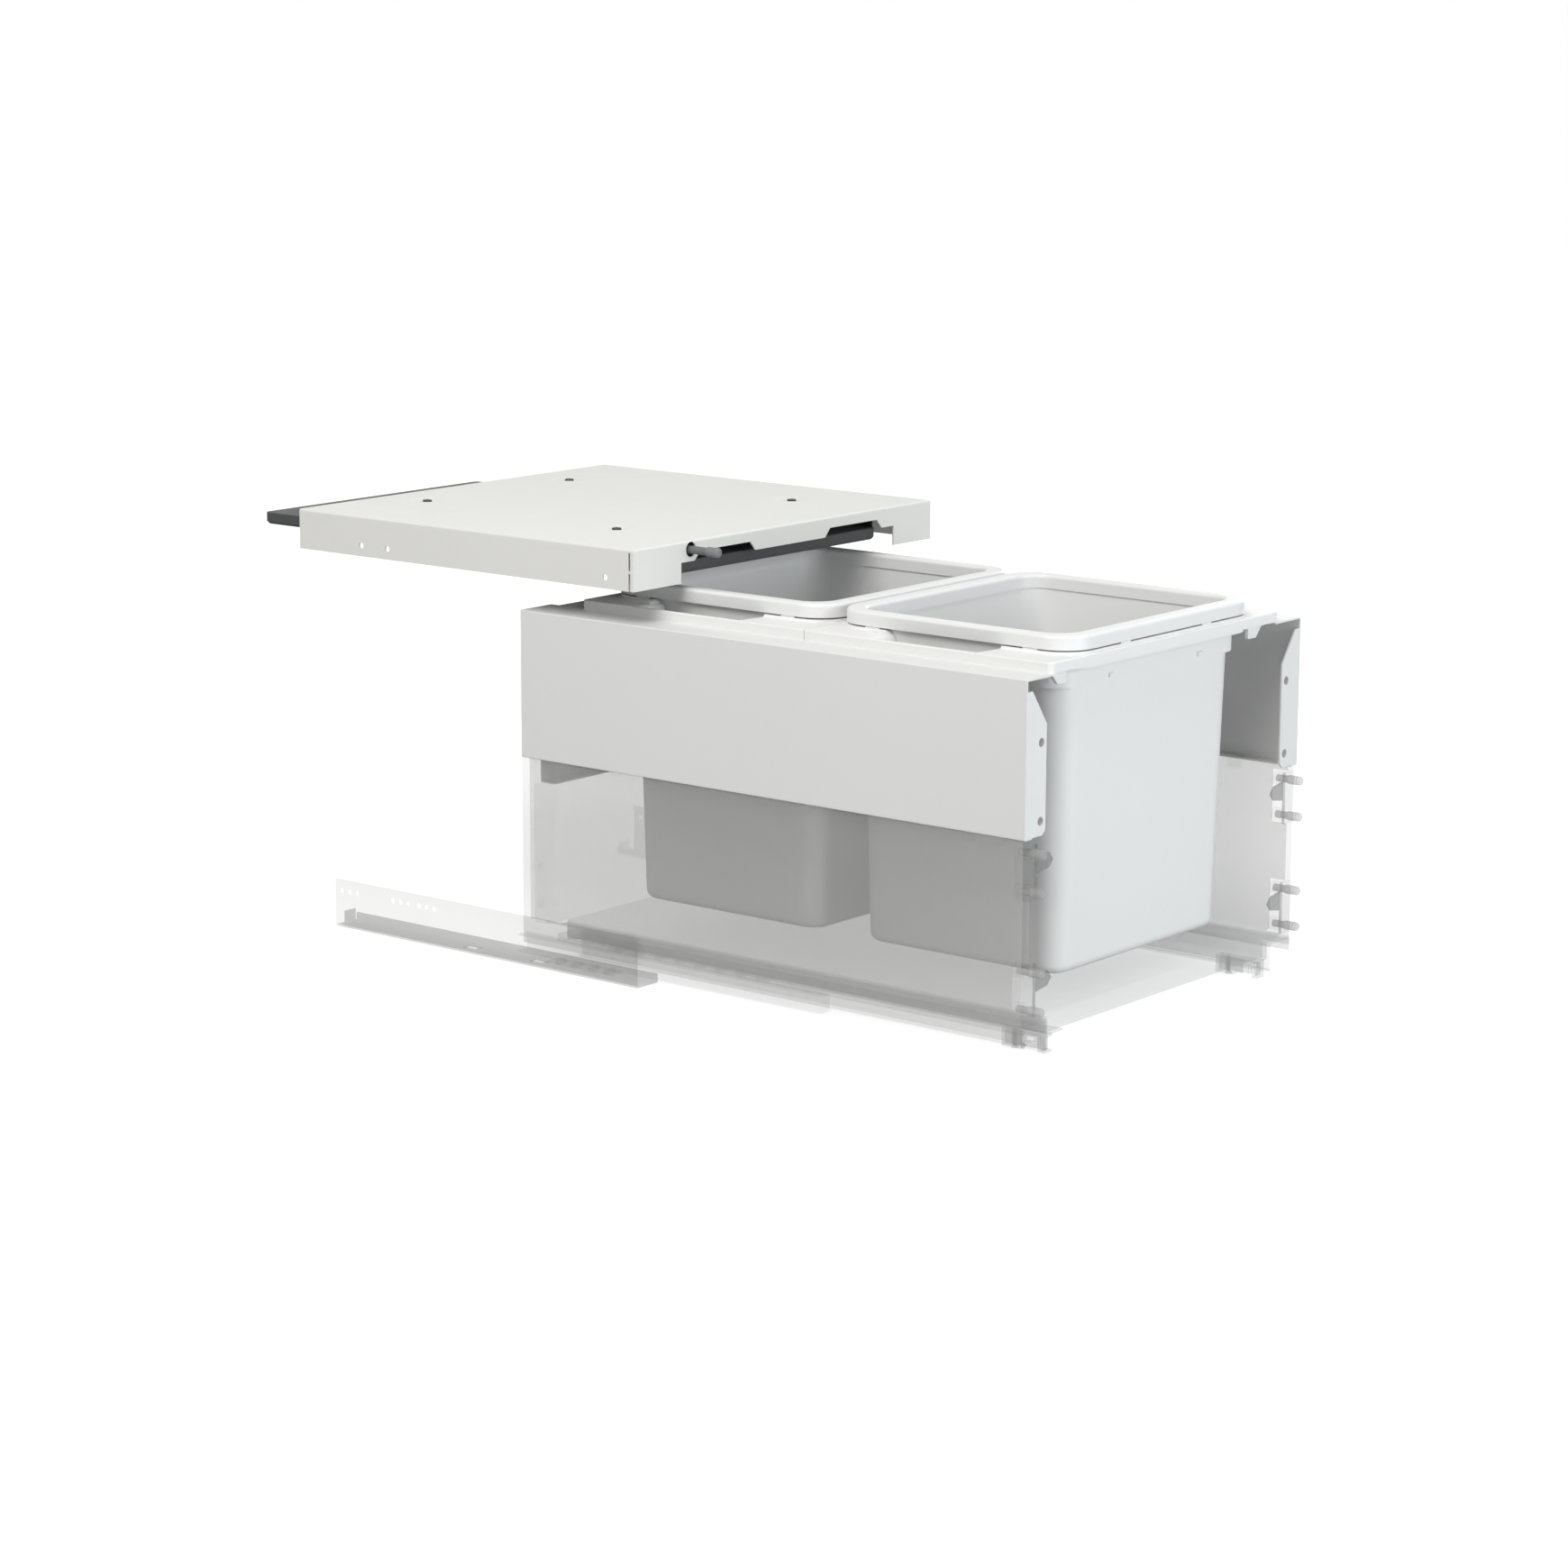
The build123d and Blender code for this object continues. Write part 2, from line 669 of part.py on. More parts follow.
def drawer_side():
    outer = [
        (half_out, drawer_bottom_z),
        (half_out, side_top),
        (inner_wall, side_top),
        (inner_wall, floor_top + 4.0),
    ]
    shell = folded(outer, sheet, side_y0, side_y1)
    ledge = [
        (inner_wall, side_top - 20),
        (inner_wall, floor_top + 4.0),
        (leg_in + 9.0, rail_top + sheet),
        (ledge_x - sheet, rail_top + sheet),
        (ledge_x - sheet, drawer_bottom_z),
        (ledge_x - 25.0, drawer_bottom_z),
    ]
    shell += folded(ledge, sheet, side_y0, floor_y1 - 0.5)
    for pair in bracket_pairs:
        shell -= block(
            inner_wall - 7, inner_wall + 7, side_y0 - 1, side_y0 + pocket, pair[1] - 7.5, pair[0] + 7.5,
        )
    for slot_y in clip_rows:
        shell -= block(half_out - 8, half_out - 4, slot_y - 6.2, slot_y + 6.2, side_top - 3, side_top + 1)
    return shell


clip_rows = (front_y + 60.0, front_y + 270.0, front_y + 480.0)


def front_bracket(pair):
    mid = (pair[0] + pair[1]) / 2
    x0 = inner_wall - 7
    x1 = half_out - sheet - 0.3
    plate = block(x0, x1, front_y, bracket_y1, mid - 23, mid + 23)
    plate = fillet(plate.edges().filter_by(Axis.Y), 1.5)
    top = pair[0]
    tab = [
        (x0 + 2, top),
        (x0 - 17, top - 3),
        (x0 - 22, top - 9),
        (x0 - 17, top - 15),
        (x0 + 2, top - 18),
    ]
    plate += prism_y(tab, front_y, front_y + 2.0)
    for z in pair:
        plate += rod_y(bracket_y1 - 1, bracket_y1 + 12.0, inner_wall, z, 6.0)
        plate -= rod_y(front_y - 1, bracket_y1 + 10.0, inner_wall, z, dowel_r - 0.8 + pin_gap)
    return plate


def front_dowel(z):
    pin = rod_y(front_y - dowel_out, front_y, inner_wall, z, dowel_r)
    pin = chamfer(pin.edges().filter_by(GeomType.CIRCLE).sort_by(Axis.Y)[:1], 1.2)
    for i in range(3):
        ring_y = front_y - 3.0 - i * 2.6
        groove = rod_y(ring_y - 0.6, ring_y + 0.6, inner_wall, z, dowel_r + 1)
        pin -= groove - rod_y(ring_y - 1, ring_y + 1, inner_wall, z, dowel_r - 0.5)
    pin += rod_y(front_y - 0.1, bracket_y1 + 9.5, inner_wall, z, dowel_r - 0.8)
    return pin


right_side = drawer_side()
save("drawer_side_right", right_side)
save("drawer_side_left", flip(right_side))
brackets = []
dowels = []
for pair in bracket_pairs:
    one = front_bracket(pair)
    brackets += [one, flip(one)]
    for z in pair:
        peg = front_dowel(z)
        dowels += [peg, flip(peg)]
save("front_brackets", brackets)
save("front_dowels", dowels)

floor = block(-floor_half, floor_half, floor_y0, floor_y1, drawer_bottom_z, floor_top)
save("drawer_floor", floor)

back_top = side_top - 26.0
back_half = inner_wall - 2.0
back_y1 = floor_y1 + board
back = block(-back_half, back_half, floor_y1, back_y1, floor_top, back_top)
save("back_panel", back)


def back_bracket():
    x1 = inner_wall - 0.1
    x0 = x1 - sheet
    plate = block(x0, x1, floor_y1 - 9, back_y1 + sheet, floor_top + 8.0, side_top - 1)
    plate += block(x1 - 20, x1, back_y1, back_y1 + sheet, floor_top + 8.0, back_top)
    for share in (0.085, 0.33, 0.77):
        z = floor_top + share * (side_top - floor_top)
        z = max(z, floor_top + 14.0)
        plate += block(x0 - 5.0, x0 + 0.5, floor_y1 - 8.5, floor_y1, z - 6, z + 6)
        if z < back_top - 8:
            plate -= rod_y(back_y1 - 1, back_y1 + sheet + 1, x1 - 12, z, 2.2)
    return plate


def back_screws():
    x = inner_wall - 12.1
    row = []
    for share in (0.085, 0.33):
        z = max(floor_top + share * (side_top - floor_top), floor_top + 14.0)
        head = rod_y(back_y1 + sheet, back_y1 + sheet + 1.8, x, z, 3.8)
        shank = rod_y(back_y1 + 0.2, back_y1 + sheet + 1, x, z, 2.0)
        row.append(head + shank)
    return row


right_bracket = back_bracket()
save("back_bracket_right", right_bracket)
save("back_bracket_left", flip(right_bracket))
right_screws = back_screws()
save("back_screws", right_screws + [flip(s) for s in right_screws])

# ---- couplings under the floor ------------------------------------------------
house_y0 = front_y + 4.0
house_y1 = front_y + 47.0
house_top = drawer_bottom_z - sheet
house_bottom = house_top - 15.5
house_in = ledge_x - 12.0
house_out = ledge_x - 1.5
latch_x = ledge_x - 6.5
latch_y = front_y + 37.0
latch_pin_r = 1.75
latch_half = 2.7
latch_z0 = house_bottom + 2.5
latch_z1 = house_top - 3.0


def coupling():
    house = block(house_in, house_out, house_y0, house_y1, house_top - 2.4, house_top)
    house += block(house_in, house_in + 2, latch_y - 3, house_y1, house_bottom, house_top)
    house += block(house_in, house_out, house_y1 - 2, house_y1, house_bottom, house_top)
    house += block(house_in, house_out, house_y1 - 18, house_y1, house_bottom, house_bottom + 2)
    house += block(house_in, house_out, house_y0, house_y0 + 6, house_bottom, house_bottom + 2)
    house += block(house_out - 2, house_out, house_y0, hook_y - 7, house_bottom, house_top)
    house += block(house_out - 2, house_out, hook_y + 7, house_y1, house_bottom, house_top)
    house -= rod_z(house_bottom - 1, house_top - 1.0, latch_x, latch_y, latch_pin_r + pin_gap)
    return house


def catch_lever():
    body = block(latch_x - latch_half, latch_x + latch_half, front_y + 6.0, latch_y, latch_z0, latch_z1)
    body += rod_z(latch_z0, latch_z1, latch_x, latch_y, latch_half + 0.2)
    hook = [
        (latch_x, hook_y - 4.5),
        (leg_in + sheet + 1.0, hook_y - 3.0),
        (leg_in + sheet + 1.0, hook_y + 3.0),
        (latch_x, hook_y + 6.0),
    ]
    body += prism_z(hook, hook_z0, hook_z1)
    body -= rod_z(latch_z0 - 1, latch_z1 + 1, latch_x, latch_y, latch_pin_r + pin_gap)
    for i in range(3):
        groove_y = front_y + 9.0 + 3 * i
        body -= block(
            latch_x - 4, latch_x - latch_half + 0.7, groove_y, groove_y + 1.2, latch_z0 - 1, latch_z1 + 1,
        )
    return body


def catch_pin():
    pin = rod_z(house_bottom - 1.2, house_bottom, latch_x, latch_y, 3.2)
    pin += rod_z(house_bottom - 0.5, house_top - 1.2, latch_x, latch_y, latch_pin_r)
    return pin


right_coupling = coupling()
save("coupling_right", right_coupling)
save("coupling_left", flip(right_coupling))
right_catch = catch_lever()
save("catch_lever_right", right_catch)
save("catch_lever_left", flip(right_catch))
right_pin = catch_pin()
save("catch_pins", [right_pin, flip(right_pin)])

# ---- upper side panels ---------------------------------------------------------
flange_in = half_out - 40.0
front_flange = 28.0
flange_hole_x = half_out - 21.0
flange_hole_r = 3.7
flange_holes = (panel_top - 53.0, panel_top - 117.0)


def side_panel():
    line = [
        (inner_wall + 1, side_top),
        (half_out, side_top),
        (half_out, panel_top),
        (flange_in, panel_top),
    ]
    panel = folded(line, sheet, front_y, rear_y)
    outer_edges = edges_at(panel, Axis.X, half_out).filter_by(Axis.Y)
    panel = fillet(outer_edges, 0.9)
    # front flange with its slanted top
    shape = [
        (half_out - 0.5, panel_top - 10.0),
        (half_out - 8.0, panel_top - 10.0),
        (half_out - front_flange, panel_top - 38.8),
        (half_out - front_flange, side_top + 5.0),
        (half_out - front_flange + 4.0, side_top + 1.0),
        (half_out - 0.5, side_top + 1.0),
    ]
    panel += prism_y(shape, front_y, front_y + sheet)
    for z in flange_holes:
        panel -= rod_y(front_y - 1, front_y + sheet + 1, flange_hole_x, z, flange_hole_r)
    # rear flange
    panel += block(half_out - 12, half_out - 0.5, rear_y - sheet, rear_y, side_top + 1, panel_top - 12)
    panel -= rod_y(rear_y - sheet - 1, rear_y + 1, half_out - 6, clip_z, 2.6)
    for slot_y in clip_rows:
        panel -= block(half_out - 8, half_out - 4, slot_y - 6.2, slot_y + 6.2, side_top - 1, side_top + 3)
    for screw_y in frame_screw_rows:
        panel -= rod_z(panel_top - 3, panel_top + 1, frame_screw_x, screw_y, 2.2)
    return panel


clip_z = panel_top - 51.0
frame_y0 = front_y + 1.0
frame_y1 = front_y + 498.0
seam_y = front_y + 251.6
frame_half = half_out - 34.0
frame_screw_x = frame_half - 3.0
frame_screw_rows = (frame_y0 + 12.0, seam_y - 14.0, seam_y + 14.0, frame_y1 - 12.0)

right_panel = side_panel()
save("side_panel_right", right_panel)
save("side_panel_left", flip(right_panel))


def panel_clip(y):
    clip = block(half_out - 7.8, half_out - 4.2, y - 6, y + 6, side_top - 9, side_top + sheet)
    clip += block(half_out - 9.8, half_out - 2.2, y - 8, y + 8, side_top + sheet, side_top + sheet + 2)
    clip += block(half_out - 8.6, half_out - 3.4, y - 4, y + 4, side_top - 9, side_top - 4.5)
    return clip


clips = []
for row in clip_rows:
    one = panel_clip(row)
    clips += [one, flip(one)]
save("panel_clips", clips)


def rear_panel():
    """Closes the back between the side panels, and stands with a foot on the drawer back."""
    y1 = rear_y - sheet - 0.1
    y0 = y1 - sheet
    z0 = back_top + 0.2
    z1 = panel_top - sheet - 0.3
    wide_z = side_top + sheet + 0.2
    wide = half_out - sheet - 0.3
    outline = [
        (-rear_foot_half, z0),
        (rear_foot_half, z0),
        (rear_foot_half, wide_z),
        (wide, wide_z),
        (wide, z1 - 3.0),
        (wide - 3.0, z1),
        (3.0 - wide, z1),
        (-wide, z1 - 3.0),
        (-wide, wide_z),
        (-rear_foot_half, wide_z),
    ]
    panel = prism_y(outline, y0, y1)
    panel += block(-rear_foot_half, rear_foot_half, floor_y1 + 0.3, y1, z0, z0 + sheet)
    for side in (-1, 1):
        panel -= rod_y(y0 - 1, y1 + 1, side * (half_out - 6), clip_z, 2.6)
    return panel


rear_foot_half = 180.0
save("rear_panel", rear_panel())


def rear_clip():
    cap = block(half_out - 9.5, half_out - 2.5, rear_y, rear_y + 1.6, clip_z - 5, clip_z + 5)
    cap = fillet(cap.edges().filter_by(Axis.Y), 1.5)
    cap += rod_y(rear_y - 5, rear_y + 1, half_out - 6, clip_z, 2.5)
    return cap


right_clip = rear_clip()
save("rear_clips", [right_clip, flip(right_clip)])

# ---- frame halves that carry the bins -----------------------------------------------
ring_half = band_half + 0.8
ring_t = 3.6
ring_half_y = bin_length / 2 - 4.0
ring_corner = rim_corner - 2.5
ring_top = rim_bottom - running_gap
shadow_gap = 1.1
pad_t = 3.4
pad_half = 7.0
pad_reach_x = 60.0
pad_reach_y = 80.0
plate_t = 2.6
frame_wall = 2.4
grip_in = ring_half + 1.0
bin_centres = (bin_front_y + bin_length / 2, bin_front_y + bin_length / 2 + bin_pitch)


def frame_half_part(y0, y1, bin_y, grip, at_front):
    """One half of the plastic frame: a tray with a collared opening and two grips."""
    part = block(-frame_half, frame_half, y0, y1, panel_top, frame_top)
    if at_front:
        corners = part.edges().filter_by(Axis.Z).sort_by(Axis.Y)[:2]
    else:
        corners = part.edges().filter_by(Axis.Z).sort_by(Axis.Y)[-2:]
    part = fillet(corners, 5.0)
    sides = edges_at(part, Axis.Z, frame_top)
    long_sides = sides.filter_by(Axis.Y)
    part = fillet(long_sides, 1.4)
    hollow = block(
        -frame_half + frame_wall,
        frame_half - frame_wall,
        y0 + frame_wall,
        y1 - frame_wall,
        panel_top - 1,
        frame_top - plate_t,
    )
    part -= hollow
    # raised collar, faired into the plate
    fairing = Plane.XY.offset(frame_top - 0.5) * Pos(0, bin_y)
    fairing = fairing * RectangleRounded(2 * (ring_half + 5.5), 2 * (ring_half_y + 2.9), ring_corner + 3)
    part += extrude(fairing, amount=2.2, taper=40)
    part += rounded(
        0,
        bin_y,
        ring_half + ring_t,
        ring_half_y + ring_t,
        ring_corner + 2,
        panel_top - 3,
        ring_top - shadow_gap,
    )
    # pads carry the rim, and leave a shadow line between them
    for side in (-1, 1):
        x0 = side * (ring_half - 1)
        x1 = side * (ring_half + pad_t)
        end0 = bin_y + side * (ring_half_y - 1)
        end1 = bin_y + side * (ring_half_y + pad_t)
        for pad_y in (bin_y - pad_reach_y, bin_y + pad_reach_y):
            part += block(x0, x1, pad_y - pad_half, pad_y + pad_half, frame_top, ring_top)
        for pad_x in (-pad_reach_x, pad_reach_x):
            part += block(pad_x - pad_half, pad_x + pad_half, end0, end1, frame_top, ring_top)
    part -= rounded(0, bin_y, ring_half, ring_half_y, ring_corner, panel_top - 5, ring_top + 5)
    for side in (-1, 1):
        outline = [
            (side * (frame_half - 2.2), grip[0] + 6),
            (side * grip_in, grip[0] + 2),
            (side * (ring_half - 3), grip[0] + 2),
            (side * (ring_half - 3), grip[1]),
            (side * (frame_half - 2.2), grip[1]),
        ]
        # walls under the plate round the grip, then the cut itself
        for wall_y in (grip[0] + 1.0, grip[1]):
            low = block(
                side * (frame_half - 1),
                side * ring_half,
                wall_y - 2.2,
                wall_y + 2.2,
                panel_top,
                frame_top - 1,
            )
            part += low
        part -= prism_z(outline, panel_top - 5, ring_top + 5)
        # the plate rolls down into the back end of each grip, with a sloped scoop behind it
        lip = block(
            side * (ring_half + 0.2),
            side * (frame_half - 1),
            grip[1] - lip_reach,
            grip[1] + 1,
            panel_top,
            frame_top,
        )
        part += fillet(
            edges_at(lip, Axis.Z, frame_top).filter_by(Axis.X).sort_by(Axis.Y)[:1], lip_reach - 0.5,
        )
        x_in = side * (ring_half + 0.2)
        scoop = [
            (grip[1] - 4.0, frame_top - 1.5),
            (grip[1] - 2.0, ring_top - shadow_gap - 1.0),
            (grip[1] + 1.0, ring_top - shadow_gap - 0.1),
            (grip[1] + 5.0, ring_top - shadow_gap - 0.2),
            (grip[1] + 25.0, frame_top - 0.6),
        ]
        part += prism_x(scoop, min(x_in, x_in + side * 14), max(x_in, x_in + side * 14))
        for boss_y in frame_screw_rows:
            if y0 < boss_y < y1:
                part += rod_z(panel_top, frame_top - 1, side * frame_screw_x, boss_y, 3.8) & block(
                    -frame_half, frame_half, y0, y1, panel_top, frame_top,
                )
                part -= rod_z(panel_top - 1, panel_top + 6, side * frame_screw_x, boss_y, 1.5 + pin_gap)
    return part


def gusset(side):
    shape = [
        (side * (ring_half + 0.5), frame_top - 1),
        (side * (ring_half + 22), frame_top - 1),
        (side * (ring_half + 22), panel_top - 2.0),
        (side * (ring_half + 12.6), panel_top - 12.0),
        (side * (ring_half + 0.5), panel_top - 12.0),
    ]
    return prism_y(shape, front_y + 10, front_y + 13)


lip_reach = 8.0
grip_front = (front_y + 70.0, front_y + 190.0)
grip_rear = (front_y + 317.0, front_y + 440.0)
frame_front = frame_half_part(frame_y0, seam_y - 0.3, bin_centres[0], grip_front, True)
for side in (-1, 1):
    frame_front += gusset(side)
save("frame_front", frame_front)
frame_rear = frame_half_part(seam_y + 0.3, frame_y1, bin_centres[1], grip_rear, False)
save("frame_rear", frame_rear)

frame_screws = []
for side in (-1, 1):
    for row in frame_screw_rows:
        head = rod_z(panel_top - sheet - 2.0, panel_top - sheet, side * frame_screw_x, row, 3.2)
        shank = rod_z(panel_top - sheet - 1, panel_top + 5.5, side * frame_screw_x, row, 1.5)
        frame_screws.append(head + shank)
save("frame_screws", frame_screws)


# ---- bins --------------------------------------------------------------------------
def waste_bin(y):
    half_y = bin_length / 2 - rim_overhang - 3.5
    top_z = rim_bottom + 2
    height = top_z - bin_bottom
    angle = math.degrees(math.atan(bin_draft / height))
    corner = 25.0
    low_x = body_half - bin_draft
    low_y = half_y - bin_draft
    outline = Plane.XY.offset(bin_bottom) * Pos(0, y) * RectangleRounded(
        2 * low_x, 2 * low_y, corner - bin_draft * 0.8,
    )
    body = extrude(outline, amount=height, taper=-angle)
    body = fillet(edges_at(body, Axis.Z, bin_bottom), 8.0)
    floor_z = bin_bottom + bin_wall
    inner = Plane.XY.offset(floor_z) * Pos(0, y)
    inner = inner * RectangleRounded(
        2 * (low_x - bin_wall), 2 * (low_y - bin_wall), corner - bin_draft * 0.8 - bin_wall,
    )
    cavity = extrude(inner, amount=top_z - floor_z + 0.5, taper=-angle)
    cavity = fillet(edges_at(cavity, Axis.Z, floor_z), 6.0)
    rim_half_y = bin_length / 2
    mouth_x = body_half - bin_wall - rim_lip
    mouth_y = half_y - bin_wall - rim_lip
    mouth_corner = corner - bin_wall - rim_lip
    rim = rounded(0, y, rim_half, rim_half_y, rim_corner, rim_bottom, rim_top)
    rim -= rounded(0, y, mouth_x, mouth_y, mouth_corner, rim_bottom - 1, rim_top + 1)
    rim = fillet(edges_at(rim, Axis.Z, rim_top), 3.0)
    under = rounded(0, y, rim_half - 2.5, rim_half_y - 2.5, rim_corner - 2.5, rim_bottom - 1, rim_top - 2.4)
    under -= rounded(0, y, body_half + 0.4, half_y + 0.4, corner + 0.4, rim_bottom - 2, rim_top)
    rim -= under
    band_y = bin_length / 2 - 11.0
    band_z0 = panel_top - band_drop
    band = rounded(0, y, band_half, band_y, 26.0, band_z0, rim_top - 1.5)
    band -= rounded(0, y, band_half - 2, band_y - 2, 24.0, band_z0 - 1, rim_top)
    shape = body + band
    rib_z0 = band_z0 + 0.6
    rib_z1 = rim_top - 2
    rib_reach_x = band_half - 1
    rib_reach_y = band_y - 1
    ribs = block(-rib_reach_x, rib_reach_x, y - 60.8, y - 59.2, rib_z0, rib_z1)
    ribs += block(-rib_reach_x, rib_reach_x, y + 59.2, y + 60.8, rib_z0, rib_z1)
    for rib_x in (-90.0, -30.0, 30.0, 90.0):
        ribs += block(rib_x - 0.8, rib_x + 0.8, y - rib_reach_y, y + rib_reach_y, rib_z0, rib_z1)
    shape += ribs
    shape -= cavity
    # the rim's mouth stands a little inside this cut, so that the rim alone makes the lip
    spare = rim_lip / 3
    shape -= rounded(
        0, y, mouth_x + spare, mouth_y + spare, mouth_corner + spare, rim_bottom - 3, rim_top + 1,
    )
    shape += rim
    for bump_x in (-65.5, 65.5):
        shape += block(
            bump_x - 3.5, bump_x + 3.5, y - band_y - 1.6, y - band_y + 1, band_z0 + 2.5, band_z0 + 6.0,
        )
    return shape


front_bin = waste_bin(bin_centres[0])
save("front_bin", front_bin)
rear_bin = Pos(0, bin_pitch, 0) * front_bin
save("rear_bin", rear_bin)

print("lid slide mm", round(math.hypot(lid_forward, lid_drop), 4))
print("lever turn deg", round(2 * lever_half_angle, 4))
print("lever pivot", lever_x, lever_y)
print("latch pivot", latch_x, latch_y)
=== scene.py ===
import math

import bpy
from mathutils import Matrix, Quaternion, Vector


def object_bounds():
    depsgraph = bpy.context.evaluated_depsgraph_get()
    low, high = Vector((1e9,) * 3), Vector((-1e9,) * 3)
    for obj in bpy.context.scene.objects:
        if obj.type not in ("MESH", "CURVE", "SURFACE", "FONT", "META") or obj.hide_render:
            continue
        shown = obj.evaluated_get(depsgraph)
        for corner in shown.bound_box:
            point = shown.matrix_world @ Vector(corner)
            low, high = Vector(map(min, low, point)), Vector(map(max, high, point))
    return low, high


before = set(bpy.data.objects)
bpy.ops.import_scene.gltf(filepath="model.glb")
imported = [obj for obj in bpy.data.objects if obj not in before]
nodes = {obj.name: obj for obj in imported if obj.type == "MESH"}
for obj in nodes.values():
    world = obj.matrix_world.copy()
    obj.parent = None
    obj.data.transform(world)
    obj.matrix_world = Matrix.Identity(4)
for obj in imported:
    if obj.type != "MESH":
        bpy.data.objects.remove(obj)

cad_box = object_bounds()


# ---- camera: the photograph's view ------------------------------------------
camera_azimuth = -51.42      # degrees, 0 looks along +Y
camera_elevation = 11.51
camera_roll = 0.26
focal_px = 4607.0            # focal length in the photograph's pixels
frame_px = 1740.0
centre_px = (881.0, 863.0)   # where the camera's axis meets the photograph
camera_place = Vector((-2.8328, -2.2623, 0.8572))
sensor_mm = 36.0


def make_camera():
    data = bpy.data.cameras.new("camera")
    data.sensor_width = sensor_mm
    data.lens = focal_px / frame_px * data.sensor_width
    data.shift_x = (frame_px / 2 - centre_px[0]) / frame_px
    data.shift_y = (centre_px[1] - frame_px / 2) / frame_px
    data.clip_start = 0.05
    data.clip_end = 60.0
    camera = bpy.data.objects.new("camera", data)
    a = math.radians(camera_azimuth)
    e = math.radians(camera_elevation)
    back = Vector((math.sin(a) * math.cos(e), -math.cos(a) * math.cos(e), math.sin(e)))
    turn = (-back).to_track_quat("-Z", "Y") @ Quaternion((0, 0, 1), math.radians(camera_roll))
    camera.rotation_mode = "QUATERNION"
    camera.rotation_quaternion = turn
    camera.location = camera_place
    bpy.context.scene.collection.objects.link(camera)
    bpy.context.scene.camera = camera


# ---- material building blocks -------------------------------------------------
edge_blend = 0.0003          # half the width over which one opacity turns into another


class Shader:
    """A Principled material with small helpers for its procedural inputs."""

    def __init__(self, name, color, roughness=0.5, metallic=0.0, **sockets):
        self.mat = bpy.data.materials.new(name)
        self.mat.use_nodes = True
        self.tree = self.mat.node_tree
        self.bsdf = self.tree.nodes["Principled BSDF"]
        self.bsdf.inputs["Base Color"].default_value = (*color, 1)
        self.bsdf.inputs["Roughness"].default_value = roughness
        self.bsdf.inputs["Metallic"].default_value = metallic
        for key, value in sockets.items():
            self.bsdf.inputs[key.replace("_", " ")].default_value = value
        self.color = color
        self.roughness = roughness
        self.coords = self.add("ShaderNodeTexCoord").outputs["Object"]

    def add(self, kind, **values):
        node = self.tree.nodes.new(kind)
        for key, value in values.items():
            setattr(node, key, value)
        return node

    def link(self, out, into):
        self.tree.links.new(out, into)

    def noise(self, scale, detail=4.0, stretch=None):
        coords = self.coords
        if stretch is not None:
            mapping = self.add("ShaderNodeMapping")
            mapping.inputs["Scale"].default_value = stretch
            self.link(coords, mapping.inputs["Vector"])
            coords = mapping.outputs["Vector"]
        node = self.add("ShaderNodeTexNoise")
        node.inputs["Scale"].default_value = scale
        node.inputs["Detail"].default_value = detail
        self.link(coords, node.inputs["Vector"])
        return node.outputs["Fac"]

    def spread(self, fac, low, high, from_low=0.3, from_high=0.7):
        node = self.add("ShaderNodeMapRange")
        node.inputs["From Min"].default_value = from_low
        node.inputs["From Max"].default_value = from_high
        node.inputs["To Min"].default_value = low
        node.inputs["To Max"].default_value = high
        self.link(fac, node.inputs["Value"])
        return node.outputs["Result"]

    def mottle(self, scale, amount, stretch=None):
        """Base colour that wanders a little lighter and darker."""
        fac = self.noise(scale, 3.0, stretch)
        mix = self.add("ShaderNodeMix", data_type="RGBA")
        mix.inputs["A"].default_value = (*[c * (1 - amount) for c in self.color], 1)
        mix.inputs["B"].default_value = (*[min(1.0, c * (1 + amount)) for c in self.color], 1)
        self.link(self.spread(fac, 0.0, 1.0), mix.inputs["Factor"])
        self.link(mix.outputs["Result"], self.bsdf.inputs["Base Color"])
        return self

    def alpha_inboard(self, edge_x, outboard):
        """The set opacity between the planes x = +-edge_x, and another one outside them."""
        inboard = self.bsdf.inputs["Alpha"].default_value
        low = edge_x - edge_blend
        high = edge_x + edge_blend
        axes = self.add("ShaderNodeSeparateXYZ")
        self.link(self.coords, axes.inputs["Vector"])
        away = self.add("ShaderNodeMath", operation="ABSOLUTE")
        self.link(axes.outputs["X"], away.inputs[0])
        alpha = self.spread(away.outputs["Value"], inboard, outboard, low, high)
        self.link(alpha, self.bsdf.inputs["Alpha"])
        return self

    def uneven(self, scale, amount, stretch=None):
        """Roughness that wanders."""
        fac = self.noise(scale, 3.0, stretch)
        rough = self.spread(fac, self.roughness - amount, self.roughness + amount)
        self.link(rough, self.bsdf.inputs["Roughness"])
        return self

    def grain(self, scale, height, strength=0.5, stretch=None, detail=2.0):
        """Bump of the given height in metres."""
        bump = self.add("ShaderNodeBump")
        bump.inputs["Strength"].default_value = strength
        bump.inputs["Distance"].default_value = height
        self.link(self.noise(scale, detail, stretch), bump.inputs["Height"])
        self.link(bump.outputs["Normal"], self.bsdf.inputs["Normal"])
        return self


def paint(shader, *names):
    for name in names:
        mesh = nodes[name].data
        mesh.materials.clear()
        mesh.materials.append(shader.mat)


# ---- finishes --------------------------------------------------------------------
tab_edge_x = 0.1855          # the front brackets' tabs are inboard of this, their plates outboard
profile_web_x = 0.2072       # the runner profiles' webs are outboard of this


def finish_cover():
    cover = Shader("white_powder_coat", (0.80, 0.80, 0.775), 0.45)
    cover.mottle(9.0, 0.006).uneven(40.0, 0.04).grain(1400.0, 0.00002, 0.25)
    paint(cover, "cover_shell")


